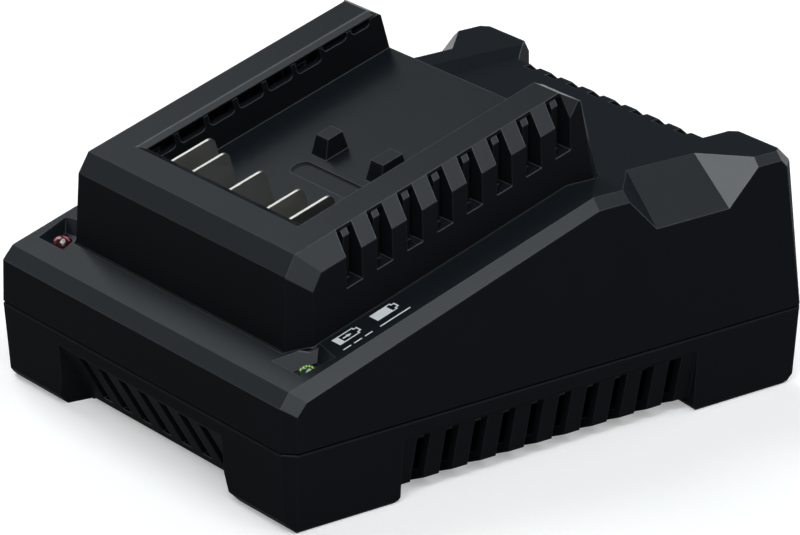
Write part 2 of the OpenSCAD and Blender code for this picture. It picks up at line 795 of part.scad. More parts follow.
module x_capacitor() color([0.80, 0.62, 0.12]) {
    on_board(23, 49) linear_extrude(15) rounded(20, 9, 1);
}

module choke_core() color([0.25, 0.27, 0.26]) {
    on_board(-23, 29) difference() {
        translate([0, 0, 1.4]) cylinder(d = choke_d - 3, h = 8.6);
        cylinder(d = choke_d - 13, h = 20);
    }
}

// Two windings around the ring, standing on the board.
module choke_windings() color([0.72, 0.36, 0.14]) {
    on_board(-23, 29) for (a = [25, 205]) rotate(a) difference() {
        rotate_extrude(angle = 130) translate([choke_d / 2 - 8, 0]) square([8, 11.4]);
        difference() {
            translate([0, 0, 1.4]) cylinder(d = choke_d - 3, h = 8.6);
            cylinder(d = choke_d - 13, h = 20);
        }
    }
}

module bridge_rectifier() color([0.12, 0.12, 0.13]) {
    on_board(3, 36) {
        translate([0, 0, 3]) block([-10, -2, 0], [10, 2, 13]);
        for (x = [-7.5, -2.5, 2.5, 7.5]) block([x - 0.6, -0.4, 0], [x + 0.6, 0.4, 4]);
    }
}

module mains_capacitor() color([0.10, 0.12, 0.22]) {
    on_board(33, 28) difference() {
        cylinder(d = capacitor_d, h = capacitor_h);
        // crimp around the lower end and cross in the vent end
        translate([0, 0, 3]) rotate_extrude() translate([capacitor_d / 2 + 0.5, 0]) circle(1.2);
        translate([0, 0, capacitor_h - 0.3]) for (a = [0, 90]) rotate(a) translate([-5, -0.3, 0]) cube([10, 0.6, 1]);
    }
}

// A finned heat sink whose flat face looks to +X.
module heat_sink(l, h) {
    linear_extrude(h) {
        translate([-2.5, -l / 2]) square([2.5, l]);
        for (y = [-l / 2 : 4 : l / 2 - 1.2]) translate([-8.5, y]) square([7, 1.2]);
    }
}

// A three-legged power device, its tab against a plane at x = 0.
module power_device() {
    difference() {
        block([0, -5, 4], [1.3, 5, 18]);
        translate([-1, 0, 15.5]) rotate([0, 90, 0]) cylinder(d = 3.4, h = 4);
    }
    block([1, -5, 4], [4.4, 5, 12.4]);
    for (y = [-2.5, 0, 2.5]) block([2.2, y - 0.45, 0], [2.8, y + 0.45, 5]);
}

module primary_heat_sink() color([0.75, 0.76, 0.78]) on_board(-36, -2) heat_sink(29.2, sink_h);
module power_transistor() color([0.12, 0.12, 0.13]) on_board(-36, -2) power_device();
module output_heat_sink() color([0.75, 0.76, 0.78]) on_board(36, -12) mirror([1, 0, 0]) heat_sink(29.2, sink_h);
module output_diode() color([0.12, 0.12, 0.13]) on_board(36, -12) mirror([1, 0, 0]) power_device();

// The ferrite frame with its centre leg.
module transformer_core() color([0.20, 0.20, 0.21]) {
    leg = core_w / 2 - 4;
    on_board(0, 2) difference() {
        block([-core_w / 2, -6, 0], [core_w / 2, 6, core_h]);
        for (s = [-1, 1])
            block([min(s * 5, s * leg), -10, 4], [max(s * 5, s * leg), 10, core_h - 4]);
    }
}

module transformer_bobbin() color([0.14, 0.14, 0.15]) {
    half = core_w / 2 - 4 - fit;
    on_board(0, 2) difference() {
        union() {
            for (z = [4 + fit, core_h - 5 - fit]) block([-half, -14, z], [half, 14, z + 1]);
            block([-6.5, -7.5, 4 + fit], [6.5, 7.5, core_h - 4 - fit]);
            for (y = [-14, 10]) block([-half, y, 0], [half, y + 4, 4 + fit]);
        }
        block([-5 - fit, -6 - fit, 0], [5 + fit, 6 + fit, core_h]);
    }
}

module transformer_winding() color([0.80, 0.62, 0.12]) {
    half = core_w / 2 - 4 - 2 * fit;
    on_board(0, 2) difference() {
        translate([0, 0, 5 + fit]) linear_extrude(core_h - 10 - 2 * fit) rounded(2 * half, 26, 2.5);
        block([-6.5, -7.5, 0], [6.5, 7.5, core_h]);
    }
}

module output_capacitors() color([0.10, 0.12, 0.22]) {
    for (x = [-20, -6, 8]) on_board(x, slide_y + lead_y - 4) difference() {
        cylinder(d = 10, h = 16);
        translate([0, 0, 2.4]) rotate_extrude() translate([5.4, 0]) circle(1);
    }
}

module controller_chip() color([0.12, 0.12, 0.13]) {
    on_board(26, -40) {
        translate([0, 0, 0.6]) block([-10, -3.2, 0], [10, 3.2, 3.4]);
        for (i = [0 : 7], s = [-1, 1])
            translate([(i - 3.5) * 2.4, s * 3.9, 0]) block([-0.4, -0.8, 0], [0.4, 0.8, 2.2]);
    }
}

// ---- fasteners ----------------------------------------------------------

// A screw whose head bears on z = 0 and whose shank points up.
module screw(d, shank, l) {
    difference() {
        translate([0, 0, -0.65 * d]) cylinder(d = 1.8 * d, h = 0.65 * d);
        translate([0, 0, -0.65 * d - 0.01]) for (a = [0, 90])
            rotate(a) translate([-0.5 * d, -0.12 * d, 0]) cube([d, 0.24 * d, 0.3 * d]);
    }
    cylinder(d = shank, h = l, $fn = 24);
}

module housing_screws() color([0.6, 0.6, 0.6]) {
    screw_places() translate([0, 0, screw_seat]) screw(screw_d, screw_d - 0.6, post_z + 7 - screw_seat);
}

module cradle_screws() color([0.6, 0.6, 0.6]) {
    cradle_screw_places() translate([0, 0, -wall]) screw(small_screw_d, small_screw_d - 0.4, wall + 8);
}

module board_screws() color([0.6, 0.6, 0.6]) {
    board_places() translate([0, 0, board_top]) mirror([0, 0, 1])
        screw(small_screw_d, small_screw_d - 0.6, board_top - 4.2);
}

lower_housing();
upper_housing();
battery_cradle();
contact_block();
blade_plus();
blade_data();
blade_code();
blade_temp();
blade_minus();
contact_board();
contact_leads();
red_light();
green_light();
light_boards();
circuit_board();
terminal_block();
fuse();
x_capacitor();
choke_core();
choke_windings();
bridge_rectifier();
mains_capacitor();
primary_heat_sink();
power_transistor();
transformer_core();
transformer_bobbin();
transformer_winding();
output_heat_sink();
output_diode();
output_capacitors();
controller_chip();
housing_screws();
cradle_screws();
board_screws();
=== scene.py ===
import math
from functools import reduce

import bmesh
import bpy
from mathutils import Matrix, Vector


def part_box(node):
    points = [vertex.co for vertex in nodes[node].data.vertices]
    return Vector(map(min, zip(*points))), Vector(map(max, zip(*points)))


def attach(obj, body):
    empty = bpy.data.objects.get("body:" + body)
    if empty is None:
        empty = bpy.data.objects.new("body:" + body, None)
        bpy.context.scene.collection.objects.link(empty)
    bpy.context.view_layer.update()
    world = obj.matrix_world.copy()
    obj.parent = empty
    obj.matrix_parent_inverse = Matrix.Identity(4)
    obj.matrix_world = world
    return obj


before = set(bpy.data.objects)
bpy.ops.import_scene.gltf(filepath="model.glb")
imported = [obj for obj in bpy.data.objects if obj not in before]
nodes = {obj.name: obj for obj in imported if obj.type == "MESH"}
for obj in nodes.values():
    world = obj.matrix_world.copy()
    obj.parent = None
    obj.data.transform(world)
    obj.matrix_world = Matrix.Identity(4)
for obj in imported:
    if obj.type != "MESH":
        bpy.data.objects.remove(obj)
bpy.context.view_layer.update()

bpy.ops.object.select_all(action="DESELECT")


# ---------------------------------------------------------------------------
# Camera and studio. A long lens looks down on the front right-hand corner of
# the charger, which stands under cool white soft boxes: four above, weak ones
# all round, and two walls of light that leave no glare on its sheen.
sight = Vector((-0.7435, 0.5581, -0.3683))
lens = bpy.data.cameras.new("camera")
lens.lens = 226.1
lens.sensor_width = 36
lens.clip_start, lens.clip_end = 0.05, 50
camera = bpy.data.objects.new("camera", lens)
bpy.context.collection.objects.link(camera)
camera.location = (0.9414, -0.7064, 0.4966)
camera.rotation_mode = "QUATERNION"
camera.rotation_quaternion = sight.to_track_quat("-Z", "Y")
bpy.context.scene.camera = camera

cool_white = (0.91, 0.96, 1.0)
for name, towards, strength, width in (
    ("key", (0.34, -0.47, 0.82), 1.10, 22),
    ("high left", (-0.57, 0.00, 0.82), 0.88, 30),
    ("high right", (0.78, -0.33, 0.53), 0.55, 30),
    ("top", (0.57, 0.12, 0.81), 0.52, 22),
    ("back", (0.32, 0.62, 0.72), 0.13, 22),
    ("left", (-0.79, -0.32, 0.53), 0.12, 30),
    ("far left", (-0.80, 0.00, 0.60), 0.18, 30),
    ("low right", (0.88, -0.42, 0.25), 0.11, 22),
    ("low front", (-0.69, -0.69, 0.21), 0.08, 30),
    ("rear wall", (0.10, 0.97, 0.20), 1.8, 30),
    ("side wall", (-0.96, 0.20, 0.18), 1.4, 30),
):
    lamp = bpy.data.lights.new(name, "SUN")
    lamp.color = cool_white
    lamp.energy = strength
    lamp.angle = math.radians(width)
    light = bpy.data.objects.new(name, lamp)
    light.rotation_mode = "QUATERNION"
    light.rotation_quaternion = Vector(towards).to_track_quat("Z", "Y")
    light.visible_glossy = "wall" not in name
    bpy.context.collection.objects.link(light)

world = bpy.data.worlds.new("studio")
world.use_nodes = True
sky = world.node_tree.nodes["Background"]
sky.inputs["Color"].default_value = cool_white + (1,)
sky.inputs["Strength"].default_value = 0.07
bpy.context.scene.world = world
bpy.context.scene.view_settings.view_transform = "Standard"


# ---------------------------------------------------------------------------
# Floor. A wide sheet of pale matt paper under the charger, white to the eye
# and in gloss, which keeps the charger's soft shadow. Finishes are written as
# sums on values: a Value is one socket, and its operators add Math nodes.
class Value:
    def __init__(self, finish, socket):
        self.finish, self.socket = finish, socket

    def math(self, operation, *others):
        return self.finish.node(
            "ShaderNodeMath", {"operation": operation},
            dict(enumerate((self,) + others)))

    def __add__(self, other):
        return self.math("ADD", other)

    def __sub__(self, other):
        return self.math("SUBTRACT", other)

    def __rsub__(self, other):
        return self.finish.node(
            "ShaderNodeMath", {"operation": "SUBTRACT"}, {0: other, 1: self})

    def __mul__(self, other):
        return self.math("MULTIPLY", other)

    def __gt__(self, other):
        return self.math("GREATER_THAN", other)

    def __lt__(self, other):
        return self.math("LESS_THAN", other)

    def __or__(self, other):
        return self.math("MAXIMUM", other)

    def __and__(self, other):
        return self.math("MINIMUM", other)

    def __abs__(self):
        return self.math("ABSOLUTE")

    __radd__, __rmul__ = __add__, __mul__

    def wave(self, pitch):
        """Up from 0 to 1 and back once in every pitch."""
        return self.math("PINGPONG", pitch / 2) * (2 / pitch)

    def ramp(self, steepness):
        """0 up to where the value is 0, and from there this steeply up to 1."""
        return self.finish.node(
            "ShaderNodeMath", {"operation": "MULTIPLY", "use_clamp": True},
            {0: self, 1: steepness})


class Finish:
    """One material. Constants are set on its shader, and patterns drive it."""

    def __init__(self, name, colour, roughness, metallic=0.0, **constants):
        self.material = bpy.data.materials.new(name)
        self.material.use_nodes = True
        self.tree = self.material.node_tree
        self.shader = self.tree.nodes["Principled BSDF"]
        self.below = tuple(colour) + (1.0,)
        self.relief = None
        constants.update(Base_Color=self.below, Roughness=roughness, Metallic=metallic)
        for socket, number in constants.items():
            self.shader.inputs[socket.replace("_", " ")].default_value = number

    def node(self, kind, settings, inputs, output=0):
        made = self.tree.nodes.new(kind)
        for key, setting in settings.items():
            setattr(made, key, setting)
        for key, given in inputs.items():
            if isinstance(given, Value):
                self.tree.links.new(given.socket, made.inputs[key])
            else:
                made.inputs[key].default_value = given
        return Value(self, made.outputs[output])

    def drive(self, socket, value):
        """Links a value to a socket of the shader."""
        self.tree.links.new(value.socket, self.shader.inputs[socket])

    def place(self, start=(0, 0, 0), scale=(1, 1, 1)):
        """Where a point of the charger lies, times scale, seen from start."""
        return self.node("ShaderNodeMapping", {}, {
            "Vector": self.node("ShaderNodeTexCoord", {}, {}, "Object"),
            "Location": tuple(-c for c in start), "Scale": scale})

    def at(self, axis):
        """How far along X, Y or Z a point of the charger lies, in metres."""
        return self.node("ShaderNodeSeparateXYZ", {}, {0: self.place()}, axis)

    def from_axis(self, x, y):
        """How far a point is from the upright line through x and y."""
        return self.node("ShaderNodeVectorMath", {"operation": "LENGTH"}, {
            0: self.place((x, y, 0), (1, 1, 0))}, "Value")

    def along(self, direction, start):
        """How far in this direction a point lies from start, in metres."""
        return self.node("ShaderNodeVectorMath", {"operation": "DOT_PRODUCT"}, {
            0: self.place(start), 1: direction}, "Value")

    def noise(self, size, detail=2.0, stretch=(1, 1, 1)):
        """Cloudy noise from 0 to 1 in patches of about this size."""
        return self.node("ShaderNodeTexNoise", {}, {
            "Vector": self.place(scale=tuple(1 / (size * s) for s in stretch)),
            "Scale": 1.0, "Detail": detail})

    def blend(self, amount, under, over):
        """One colour over another, as much as amount from 0 to 1."""
        return self.node("ShaderNodeMix", {"data_type": "RGBA"}, {
            "Factor": amount, 6: under, 7: tuple(over) + (1.0,)}, 2)

    def tint(self, amount, colour):
        """Lays a colour over the base colour."""
        self.below = self.blend(amount, self.below, colour)
        self.drive("Base Color", self.below)

    def glow(self, amount, colour):
        """Gives off light of this colour."""
        self.shader.inputs["Emission Strength"].default_value = 1.0
        self.drive("Emission Color", self.blend(amount, (0, 0, 0, 1), colour))

    def soften(self, radius):
        """Shades every edge as one rounded to this radius."""
        self.relief = self.node("ShaderNodeBevel", {"samples": 6}, {"Radius": radius})
        self.drive("Normal", self.relief)

    def bump(self, height, depth):
        """Relief that is depth metres high where height is 1."""
        sockets = {"Height": height, "Distance": depth}
        if self.relief:
            sockets["Normal"] = self.relief
        self.relief = self.node("ShaderNodeBump", {}, sockets)
        self.drive("Normal", self.relief)

    def unrounded(self):
        """Which way the faces of the mesh point, with their edges sharp."""
        return self.node("ShaderNodeNewGeometry", {}, {}, "True Normal")

    def sharpen(self, where):
        """Shades as flat what soften rounded, where this is 1."""
        self.relief = self.node("ShaderNodeMix", {"data_type": "VECTOR"}, {
            "Factor": where, 4: self.relief, 5: self.unrounded()}, 1)
        self.drive("Normal", self.relief)

    def edges(self):
        """Up to 1 along the edges that soften rounds."""
        turned = self.node("ShaderNodeVectorMath", {"operation": "DOT_PRODUCT"}, {
            0: self.relief, 1: self.unrounded()}, "Value")
        return (0.96 - turned).ramp(9.0)

    def on(self, *names):
        """Puts the finish on CAD nodes."""
        for name in names:
            for slot in nodes[name].material_slots:
                slot.material = self.material


floor_w = 12
bpy.ops.mesh.primitive_grid_add(x_subdivisions=8, y_subdivisions=8, size=floor_w)
floor = bpy.context.object
floor.name = "floor"
paper = Finish("floor_paper", (0.84, 0.82, 0.80), 0.9)
paper.bump(paper.noise(0.003, 3.0), 0.00002)
in_view, in_gloss, in_glass = (
    paper.node("ShaderNodeLightPath", {}, {}, ray)
    for ray in ("Is Camera Ray", "Is Glossy Ray", "Is Transmission Ray"))
paper.glow((in_view | in_gloss | in_glass) * 0.30, (1, 1, 1))
floor.data.materials.append(paper.material)
floor.select_set(False)


# ---------------------------------------------------------------------------
# Housing. Two injection-moulded shells of charcoal ABS, the upper one dropped
# over the lip of the lower one and screwed from below. The mould was eroded
# to a fine even grain, and the edges have small radii that catch the light.
charcoal_shade = (0.0060, 0.0069, 0.0079)
mottled_shade = tuple(c * 1.6 for c in charcoal_shade)
# Colour of the painted light on the faces that point up.
painted_top_light_shade = (0.011, 0.015, 0.019)
# Colour of the pale edges: partly wear, partly painted highlight.
edge_wear_highlight_shade = (0.13, 0.135, 0.14)
edge_radius = 0.0005
parting_z, parting_half = 0.0212, 0.0012


def charcoal(name, joined=None):
    """The grained plastic. Its faces that point up are painted lighter as painted
    light and given a sheen, and its edges are painted pale, partly as wear and
    partly as painted highlight. Where joined is 1, two pieces run on flush and no
    edge shows between them."""
    plastic = Finish(name, charcoal_shade, 0.4, Specular_IOR_Level=0.003, Coat_Roughness=0.25)
    patches = plastic.noise(0.018, 3.0)
    grain = plastic.noise(0.00045)
    plastic.tint(patches * 0.3, mottled_shade)
    plastic.drive("Roughness", 0.42 + patches * 0.05 + grain * 0.06)
    plastic.soften(edge_radius)
    if joined:
        plastic.sharpen(joined(plastic))
    faces_up = plastic.node("ShaderNodeSeparateXYZ", {}, {0: plastic.relief}, "Z")
    parting = abs(plastic.at("Z") - parting_z) < parting_half
    # Painted light: faces that point up are painted lighter and get a sheen, less along the
    # parting line.
    up_faces_light_and_sheen = (1 - parting * 0.8) * (faces_up - 0.1).ramp(6.0)
    # Painted highlight and wear: edges are painted pale, most where they point up.
    edge_wear_and_highlight = plastic.edges() * (0.12 + up_faces_light_and_sheen * 0.88) * (1 - parting * 0.6)
    plastic.tint(up_faces_light_and_sheen * 0.6, painted_top_light_shade)
    plastic.tint(edge_wear_and_highlight * 0.7, edge_wear_highlight_shade)
    plastic.drive("Coat Weight", up_faces_light_and_sheen * (0.57 - patches * 0.10) + edge_wear_and_highlight * 0.2)
    plastic.bump(grain, 0.000006)
    return plastic


charcoal("housing_charcoal").on("lower_housing", "upper_housing")


# ---------------------------------------------------------------------------
# Battery cradle. One moulding of the same charcoal plastic, screwed down on
# the sloping deck, with slotted rails on both sides of the slide.
slide_tilt = math.radians(16.5)
top_front = (0, -0.05949, 0.06398)
frame_side, lip_front, lip_flat = 0.0343, 0.0016, 0.0037
joint_half, joint_h = 0.0008, 0.0002


def lip_joint(plastic):
    """Where the lip of the opening frame runs on from the cradle's top face."""
    up_slide = plastic.along((0, math.cos(slide_tilt), math.sin(slide_tilt)), top_front)
    above = plastic.along((0, -math.sin(slide_tilt), math.cos(slide_tilt)), top_front)
    side = abs(abs(plastic.at("X")) - frame_side) < joint_half
    front = abs(up_slide + lip_front) < joint_half
    on_lip = (up_slide < lip_flat - joint_half / 2) & (abs(above) < joint_h)
    return (side | front) & on_lip


cradle_plastic = charcoal("cradle_charcoal", lip_joint)
cradle_plastic.on("battery_cradle")


# ---------------------------------------------------------------------------
# Opening frame. A moulded frame of the cradle's plastic along the front and
# both sides of the slide opening. Its front is a flat lip over the ends of the
# blades, and its inner edge is bevelled to lead the battery's foot in.
slide_half = 0.0332
frame_l, frame_h, bevel_h, lip_bevel = 0.085, 0.0019, 0.0014, 0.0022
outer_l = frame_l + lip_front
bevel_l = frame_l - lip_flat
inner_l = bevel_l - lip_bevel
rear_facet, rear_facet_normal = (0, 0.0155, 0.08619), (0, 1.7, 3.8)
tiny = 0.00001


def pick_edges(piece, wanted):
    """Selects those edges of a piece in edit mode that are wanted."""
    mesh = bmesh.from_edit_mesh(piece.data)
    for edge in mesh.edges:
        edge.select_set(wanted(edge))
    bmesh.update_edit_mesh(piece.data)


bpy.ops.mesh.primitive_plane_add(size=1, location=(0, frame_l / 2, -frame_h))
opening = bpy.context.object
opening.name = "opening_frame"
opening.scale = (2 * slide_half, frame_l, 1)
bpy.ops.object.transform_apply()
bpy.ops.object.mode_set(mode="EDIT")
bpy.ops.mesh.delete(type="ONLY_FACE")
pick_edges(opening, lambda edge: all(v.co.y > frame_l / 2 for v in edge.verts))
bpy.ops.mesh.delete(type="EDGE")
bpy.ops.mesh.select_all(action="SELECT")
bpy.ops.transform.resize(value=(1, inner_l / frame_l, 1), center_override=(0, frame_l, 0))
for rise, widen, lengthen in (
    (frame_h - bevel_h, 1, 1),
    (bevel_h, frame_side / slide_half, bevel_l / inner_l),
    (0, 1, outer_l / bevel_l),
    (-frame_h, 1, 1),
):
    bpy.ops.mesh.extrude_region_move(TRANSFORM_OT_translate={"value": (0, 0, rise)})
    bpy.ops.transform.resize(value=(widen, lengthen, 1), center_override=(0, frame_l, 0))
pick_edges(opening, lambda edge: edge.is_boundary and all(
    v.co.z < bevel_h / 2 - frame_h for v in edge.verts))
bpy.ops.mesh.bridge_edge_loops()
for finish_mesh, settings in (
    (bpy.ops.mesh.remove_doubles, {"threshold": tiny}),
    (bpy.ops.mesh.dissolve_degenerate, {"threshold": tiny}),
    (bpy.ops.mesh.fill_holes, {"sides": 5}),
    (bpy.ops.mesh.normals_make_consistent, {"inside": False}),
):
    bpy.ops.mesh.select_all(action="SELECT")
    finish_mesh(**settings)
bpy.ops.object.mode_set(mode="OBJECT")
opening.rotation_euler = (slide_tilt, 0, 0)
opening.location = top_front
bpy.ops.object.transform_apply()
bpy.ops.object.mode_set(mode="EDIT")
bpy.ops.mesh.select_all(action="SELECT")
bpy.ops.mesh.bisect(plane_co=rear_facet, plane_no=rear_facet_normal,
                    use_fill=True, clear_outer=True)
bpy.ops.object.mode_set(mode="OBJECT")
opening.select_set(False)
opening.data.materials.append(cradle_plastic.material)
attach(opening, "root")


# ---------------------------------------------------------------------------
# Contact block. A tray of black glass-filled nylon under the slide floor that
# holds the five blades. Short glass fibres streak its skin. The bobbin of the
# transformer is moulded in the same nylon.
nylon = Finish("black_nylon", (0.020, 0.020, 0.022), 0.5, Specular_IOR_Level=0.4)
fibres = nylon.noise(0.0012, 3.0, (6, 1, 1))
nylon.tint(fibres * 0.5, (0.045, 0.045, 0.047))
nylon.drive("Roughness", 0.42 + fibres * 0.2)
nylon.soften(0.0003)
nylon.bump(fibres, 0.00001)
nylon.on("contact_block", "transformer_bobbin")


# ---------------------------------------------------------------------------
# Contact blades. Five upright strips of nickel silver, stamped, with bevelled
# tops, and fine rub marks where batteries slide along them.
strip = Finish("nickel_silver", (0.72, 0.70, 0.65), 0.3, 1.0)
rubbing = strip.noise(0.0007, 3.0, (1, 14, 1))
tarnish = strip.noise(0.004, 3.0)
strip.tint(tarnish * 0.4, (0.50, 0.47, 0.41))
strip.drive("Roughness", 0.22 + rubbing * 0.2 + tarnish * 0.1)
strip.soften(0.00012)
strip.bump(rubbing, 0.000006)
strip.on("blade_plus", "blade_data", "blade_code", "blade_temp", "blade_minus")


# ---------------------------------------------------------------------------
# Charging lights. Two dark epoxy domes, red on the left and green on the right,
# with a clear glossy skin. A pale disc on the near side is painted as the white
# cup of the chip and as a painted highlight, and a crescent of painted light
# glows on the far shoulder, in beads over green's chip.
dome_r = 0.0025
dome_front, dome_top, dome_side = (0.743, -0.558, 0.368), (-0.294, 0.221, 0.930), (0.6, 0.8, 0)
highlight_cup_r, highlight_cup_aside, highlight_cup_aloft = 0.00062, 0.0004, 0.0010


def light_dome(name, node, colour, lit_colour, bead_pitch):
    low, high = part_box(node)
    heart = ((low.x + high.x) / 2, (low.y + high.y) / 2, high.z - dome_r)
    epoxy = Finish(name, colour, 0.14, Specular_IOR_Level=0.4, Coat_Weight=0.5,
                   Coat_Roughness=0.1)
    near = epoxy.along(dome_front, heart)
    above = epoxy.along(dome_top, heart)
    across = epoxy.along(dome_side, heart)
    flow = epoxy.noise(0.0009, 2.0)
    # Painted light: a crescent painted and made to glow where light bent in the dome would
    # show.
    painted_crescent = (near > dome_r * 0.24) & (near < dome_r * 0.60) & (above > dome_r * 0.42)
    painted_crescent_light = painted_crescent * (across.wave(bead_pitch) * (0.5 + flow * 0.7))
    # Painted highlight, placed as the chip's pale cup: a disc on the near side.
    aside, aloft = across - highlight_cup_aside, above - highlight_cup_aloft
    cup_and_highlight = (aside * aside + aloft * aloft < highlight_cup_r ** 2) & (near > 0)
    epoxy.tint(cup_and_highlight * 0.85, (0.62, 0.60, 0.58))
    epoxy.tint(painted_crescent_light, lit_colour)
    epoxy.glow(painted_crescent_light * 0.35, lit_colour)
    epoxy.drive("Roughness", 0.1 + flow * 0.1)
    epoxy.bump(flow, 0.00001)
    epoxy.on(node)


light_dome("red_epoxy", "red_light", (0.045, 0.011, 0.011), (0.75, 0.16, 0.20), 0.0026)
light_dome("green_epoxy", "green_light", (0.012, 0.045, 0.016), (0.48, 0.85, 0.14), 0.0007)


# ---------------------------------------------------------------------------
# Charge marks. Pad-printed in white ink beside the green light: a battery
# being charged over a dashed line and a full battery over an unbroken one.
slope = math.radians(17.1)
deck_front_y, deck_front_z = -0.077, 0.036
ink_depth, ink_corner = 0.00005, 0.00008
line = 0.00036
cell_w, cell_l = 0.0035, 0.0060
nub_w, nub_l = 0.0021, 0.0008
charging_cell = (0.0511, -0.0584, 0.0016)
full_cell = (0.0510, -0.0472, 0.0047)
arrow_x, arrow_y = 0.05285, -0.0551
stem_half, stem_l, head_half, head_l = 0.00025, 0.0012, 0.00065, 0.0011
dashes_x, dash_w = 0.0567, 0.0004
dashes = ((-0.0592, -0.0569), (-0.0560, -0.0537), (-0.0528, -0.0506), (-0.0483, -0.0394))
patches = []


def ink_patch(x0, x1, y0, y1, tip=1.0):
    """A patch of ink on the sloping deck, its rear edge as wide as tip."""
    x, y = (x0 + x1) / 2, (y0 + y1) / 2
    z = deck_front_z + (y - deck_front_y) * math.tan(slope)
    bpy.ops.mesh.primitive_cube_add(
        size=1, location=(x, y, z), rotation=(slope, 0, 0),
        scale=(x1 - x0, (y1 - y0) / math.cos(slope), ink_depth))
    bpy.ops.object.transform_apply()
    patch = bpy.context.object
    bpy.ops.object.mode_set(mode="EDIT")
    mesh = bmesh.from_edit_mesh(patch.data)
    for vert in mesh.verts:
        vert.select_set(vert.co.y > y)
    mesh.select_flush(True)
    bmesh.update_edit_mesh(patch.data)
    bpy.ops.transform.resize(value=(tip, 1, 1), center_override=(x, y1, z))

    def upright(edge):
        run = edge.verts[1].co - edge.verts[0].co
        return abs(run.z) > abs(run.y) and abs(run.x) < tiny

    pick_edges(patch, upright)
    bpy.ops.mesh.bevel(offset=ink_corner, segments=2, affect="EDGES", clamp_overlap=True)
    bpy.ops.object.mode_set(mode="OBJECT")
    patches.append(patch)


for x, y, filled in (charging_cell, full_cell):
    nub_x = x + (cell_w - nub_w) / 2
    end = y + cell_l
    ink_patch(x, x + cell_w, y, y + filled)
    ink_patch(x, x + line, y + filled, end - line)
    ink_patch(x + cell_w - line, x + cell_w, y + filled, end - line)
    ink_patch(x, nub_x + line, end - line, end)
    ink_patch(nub_x + nub_w - line, x + cell_w, end - line, end)
    ink_patch(nub_x, nub_x + line, end, end + nub_l - line)
    ink_patch(nub_x + nub_w - line, nub_x + nub_w, end, end + nub_l - line)
    ink_patch(nub_x, nub_x + nub_w, end + nub_l - line, end + nub_l)
ink_patch(arrow_x - stem_half, arrow_x + stem_half, arrow_y - stem_l, arrow_y)
ink_patch(arrow_x - head_half, arrow_x + head_half, arrow_y, arrow_y + head_l, tip=0.15)
for y0, y1 in dashes:
    ink_patch(dashes_x, dashes_x + dash_w, y0, y1)
for patch in patches:
    patch.select_set(True)
bpy.ops.object.join()
marks = bpy.context.object
marks.name = "charge_marks"
bpy.ops.object.transform_apply()
marks.select_set(False)
ink = Finish("white_ink", (0.84, 0.85, 0.86), 0.55, Specular_IOR_Level=0.3)
thin = ink.noise(0.00025, 3.0)
ink.tint((thin > 0.70) * 0.2, (0.60, 0.61, 0.62))
ink.drive("Roughness", 0.5 + thin * 0.2)
ink.bump(thin, 0.00001)
marks.data.materials.append(ink.material)
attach(marks, "root")


# ---------------------------------------------------------------------------
# Circuit boards. Fibreglass laminate with a green solder mask over copper
# tracks, which show through it as paler lines.
track_pitch, cross_track_pitch = 0.0026, 0.0068
# The mask and its tracks are darker than their own green, as painted shade inside the housing.
laminate = Finish("green_laminate", (0.006, 0.050, 0.024), 0.32, Specular_IOR_Level=0.3)
long_tracks = laminate.at("X").wave(track_pitch) < 0.26
cross_tracks = laminate.at("Y").wave(cross_track_pitch) < 0.12
tracks = long_tracks | cross_tracks
uneven = laminate.noise(0.006, 3.0)
laminate.tint(tracks * 0.55, (0.014, 0.105, 0.040))
laminate.tint(uneven * 0.25, (0.004, 0.035, 0.016))
laminate.drive("Roughness", 0.26 + uneven * 0.16)
laminate.bump(tracks, 0.00004)
laminate.on("contact_board", "circuit_board", "light_boards")


# ---------------------------------------------------------------------------
# Leads. Five silicone-covered wires from the contact board down to the circuit
# board, matt red and slightly chalky.
cover = Finish("red_silicone", (0.42, 0.045, 0.035), 0.6)
chalk = cover.noise(0.0015, 3.0)
cover.tint(chalk * 0.4, (0.55, 0.14, 0.11))
cover.drive("Roughness", 0.5 + chalk * 0.2)
cover.bump(chalk, 0.00004)
cover.on("contact_leads")


# ---------------------------------------------------------------------------
# Mains inlet. A two-way terminal block of green polyamide and a ceramic fuse
# between nickel-plated caps.
polyamide = Finish("green_polyamide", (0.04, 0.20, 0.085), 0.45)
speckle = polyamide.noise(0.0006, 2.0)
polyamide.tint(speckle * 0.4, (0.07, 0.28, 0.13))
polyamide.drive("Roughness", 0.38 + speckle * 0.16)
polyamide.soften(0.0003)
polyamide.on("terminal_block")

tube_half = 0.0052
low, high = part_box("fuse")
ceramic = Finish("fuse_ceramic", (0.80, 0.79, 0.75), 0.3)
caps = abs(ceramic.at("X") - (low.x + high.x) / 2) > tube_half
fired = ceramic.noise(0.002, 3.0)
ceramic.tint(fired * 0.3, (0.68, 0.66, 0.60))
ceramic.tint(caps, (0.63, 0.61, 0.56))
ceramic.drive("Metallic", caps)
ceramic.drive("Roughness", 0.2 + fired * 0.2)
ceramic.on("fuse")


# ---------------------------------------------------------------------------
# Interference filter. A film capacitor in a yellow box, and a choke: copper
# wire wound in two halves on a ring of ferrite.
yellow = Finish("yellow_box", (0.70, 0.46, 0.055), 0.4)
cast = yellow.noise(0.003, 3.0)
yellow.tint(cast * 0.4, (0.58, 0.36, 0.035))
yellow.drive("Roughness", 0.34 + cast * 0.14)
yellow.soften(0.0003)
yellow.on("x_capacitor")

ferrite = Finish("ferrite", (0.060, 0.060, 0.065), 0.55)
pores = ferrite.noise(0.0008, 4.0)
ferrite.tint(pores * 0.6, (0.12, 0.12, 0.125))
ferrite.drive("Roughness", 0.45 + pores * 0.3)
ferrite.bump(pores, 0.00004)
ferrite.on("choke_core", "transformer_core")

